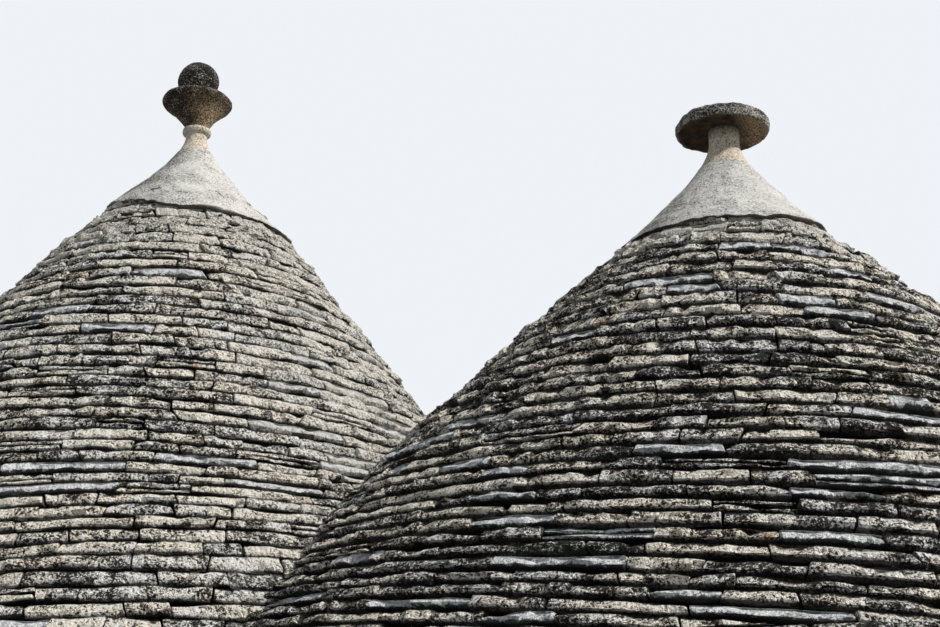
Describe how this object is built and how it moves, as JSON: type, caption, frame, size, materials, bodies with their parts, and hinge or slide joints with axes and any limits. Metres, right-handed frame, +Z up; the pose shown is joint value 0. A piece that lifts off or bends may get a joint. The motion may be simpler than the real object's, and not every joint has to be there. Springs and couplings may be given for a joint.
{
  "type": "trullo house",
  "caption": "Limestone trullo house with square rooms under joined dry-stone cones, one topped by a disc finial and the other by a bowl and ball.",
  "frame": {"origin": "on the ground under the middle of the house, halfway between the axes of the two cones", "axes": "+X along the row of rooms towards the room with the door, +Y from the door side to the back, +Z up"},
  "size_m": [9.06, 6.06, 6.2771],
  "materials": {
    "wall_stone": "limewashed rubble",
    "dressed_stone": "dressed limestone",
    "roof_slab": "weathered, lichened limestone",
    "floor_stone": "worn limestone",
    "rubble_fill": "rubble",
    "plaster": "weathered lime plaster",
    "finial_stone": "lichened limestone",
    "wood": "weathered boards",
    "glass": "clear",
    "iron": "black iron"
  },
  "bodies": {
    "root": {"door_arch": "dressed_stone", "door_frame": "wood", "door_head_wall": "wall_stone", "door_hinges": "iron", "door_jamb_left": "dressed_stone", "door_jamb_right": "dressed_stone", "door_leaf": "wood", "door_left_wall": "wall_stone", "door_right_wall": "wall_stone", "eaves_back": "roof_slab", "eaves_front": "roof_slab", "eaves_left_end": "roof_slab", "eaves_middle": "roof_slab", "eaves_right_end": "roof_slab", "left_back_wall": "wall_stone", "left_closing_slab": "dressed_stone", "left_dome_even_segments": "wall_stone", "left_dome_odd_segments": "wall_stone", "left_end_wall": "wall_stone", "left_finial_ball": "finial_stone", "left_finial_bowl": "finial_stone", "left_finial_collar": "plaster", "left_floor": "floor_stone", "left_front_wall": "wall_stone", "left_plaster_cap": "plaster", "left_roof_courses": "roof_slab", "left_roof_fill": "rubble_fill", "middle_arch": "wall_stone", "middle_back_pier": "wall_stone", "middle_front_pier": "wall_stone", "right_back_wall": "wall_stone", "right_closing_slab": "dressed_stone", "right_dome_even_segments": "wall_stone", "right_dome_odd_segments": "wall_stone", "right_end_wall": "wall_stone", "right_finial_disc": "finial_stone", "right_floor": "floor_stone", "right_plaster_cap": "plaster", "right_roof_courses": "roof_slab", "right_roof_fill": "rubble_fill", "threshold": "dressed_stone", "window_glass": "glass", "window_sashes": "wood", "window_surrounds": "dressed_stone"}
  },
  "joints": []
}
